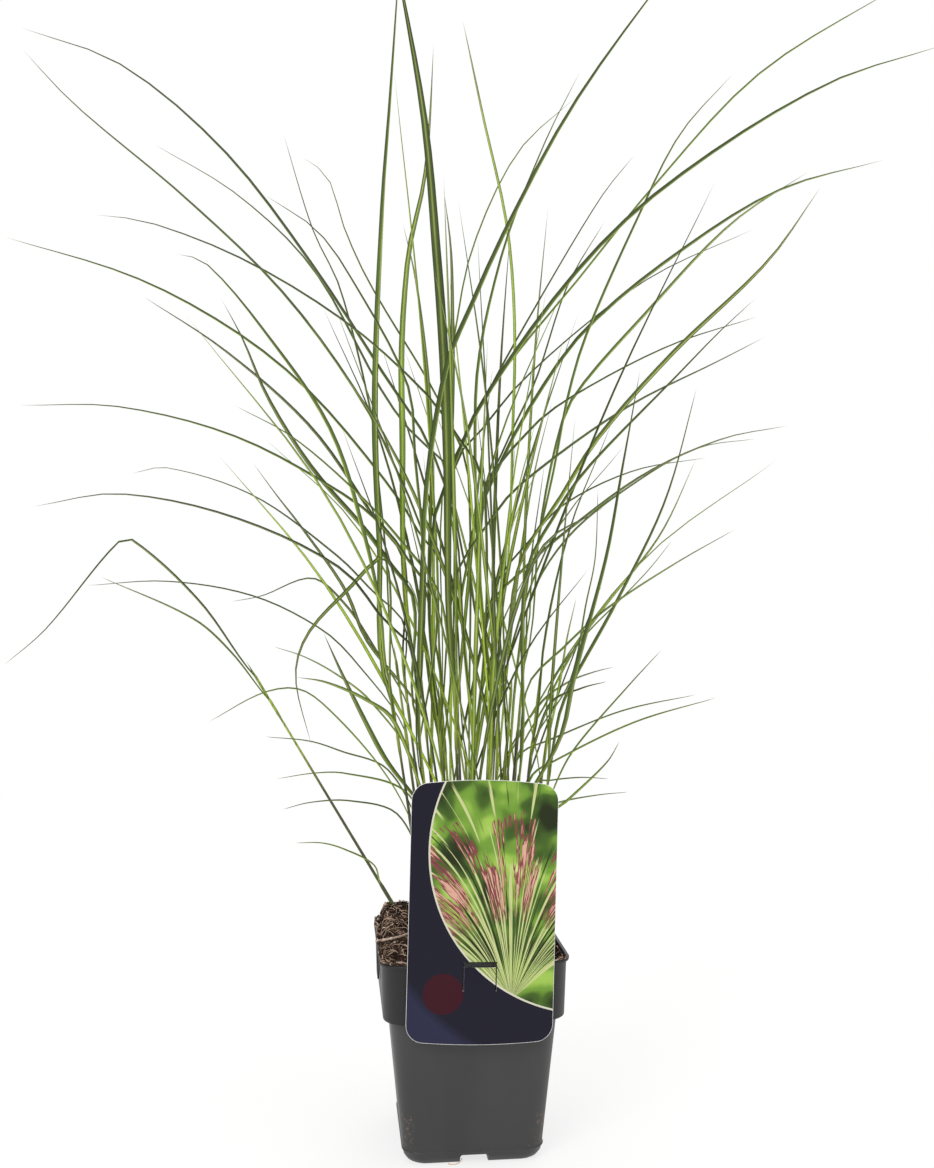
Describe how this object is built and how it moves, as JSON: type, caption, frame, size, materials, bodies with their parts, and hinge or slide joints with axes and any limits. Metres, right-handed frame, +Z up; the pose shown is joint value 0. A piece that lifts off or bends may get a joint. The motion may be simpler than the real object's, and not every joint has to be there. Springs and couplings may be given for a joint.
{
  "type": "potted maiden grass",
  "caption": "Clump of slender arching maiden grass in a tapered square nursery pot with a wide top band, mounded soil and a tall hang label.",
  "frame": {"origin": "middle of the pot's foot, where it stands", "axes": "+Z up along the pot's axis; -Y out of the side that the label hangs on; +X to that side's right"},
  "size_m": [0.6862, 0.6421, 0.8423],
  "materials": {
    "pot_plastic": "satin moulded",
    "soil": "loose peat and coir",
    "label_plastic": "printed gloss film",
    "dry_stem": "dry and dull",
    "grass": "satin leaf"
  },
  "bodies": {
    "root": {"pot": "pot_plastic", "soil": "soil", "label": "label_plastic", "dead_stem": "dry_stem", "tiller_01": "grass", "tiller_02": "grass", "tiller_03": "grass", "tiller_04": "grass", "tiller_05": "grass", "tiller_06": "grass", "tiller_07": "grass", "tiller_08": "grass", "tiller_09": "grass", "tiller_10": "grass", "tiller_11": "grass", "tiller_12": "grass", "tiller_13": "grass", "tiller_14": "grass", "tiller_15": "grass", "tiller_16": "grass", "tiller_17": "grass", "tiller_18": "grass", "tiller_19": "grass", "tiller_20": "grass", "tiller_21": "grass", "tiller_22": "grass", "tiller_23": "grass", "tiller_24": "grass", "tiller_25": "grass", "tiller_26": "grass", "tiller_27": "grass", "tiller_28": "grass", "tiller_29": "grass"}
  },
  "joints": []
}
